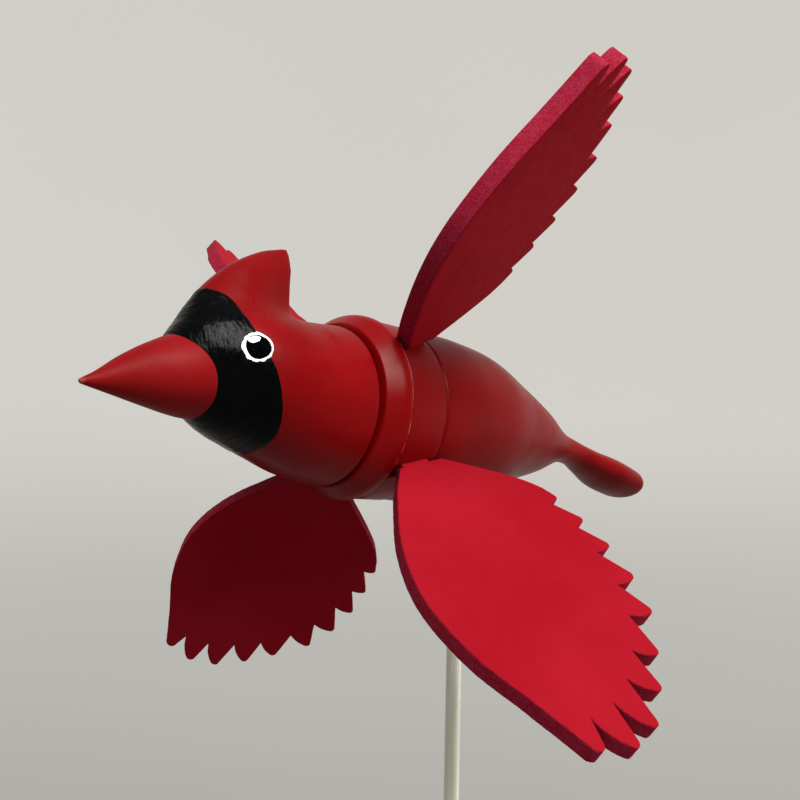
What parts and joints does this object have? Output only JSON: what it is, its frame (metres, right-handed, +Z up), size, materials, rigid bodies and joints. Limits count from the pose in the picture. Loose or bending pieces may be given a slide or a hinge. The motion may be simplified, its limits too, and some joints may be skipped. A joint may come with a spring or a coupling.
{
  "type": "whirligig",
  "caption": "Red bird whirligig: carved bird swinging on a thin rod, with a spinning rotor of pitched foam wings between its neck and body.",
  "frame": {"origin": "centre of the rod's foot", "axes": "+Z up along the rod; the bird faces -X at rest; the rotor's axis is parallel to X"},
  "size_m": [0.2515, 0.1833, 0.5148],
  "materials": {
    "fibreglass_rod": "pale greenish translucent pultruded fibreglass",
    "steel": "zinc plated steel",
    "brass": "turned brass",
    "nylon": "white nylon",
    "red_body": "satin red paint on carved wood",
    "red_head": "satin red paint with a brushed glossy black mask",
    "red_beak": "satin red paint on a sanded cone",
    "red_rotor": "gloss red paint",
    "red_foam": "smooth closed-cell EVA foam sheet with granular cut edges"
  },
  "bodies": {
    "stake": {"rod": "fibreglass_rod", "pivot_ball": "steel"},
    "bird": {"rear_body": "red_body", "head": "red_head", "beak": "red_beak", "pivot_sleeve": "brass", "axle": "steel", "front_washer": "nylon", "rear_washer": "nylon", "front_lock_nut": "steel", "rear_jam_nut": "steel", "head_insert": "brass", "rear_insert": "brass"},
    "rotor": {"rotor_collar": "red_rotor", "rotor_hub": "red_rotor", "wing_1": "red_foam", "wing_2": "red_foam", "wing_3": "red_foam", "wing_4": "red_foam", "front_bush": "brass", "rear_bush": "brass"}
  },
  "joints": [
    {"name": "bird_swing", "type": "hinge", "parent": "stake", "child": "bird", "pos_m": [0, 0, 0.433], "axis": [0, 0, 1], "continuous": true},
    {"name": "rotor_spin", "type": "hinge", "parent": "bird", "child": "rotor", "pos_m": [-0.0482, 0, 0.43], "axis": [1, 0, 0], "continuous": true}
  ]
}
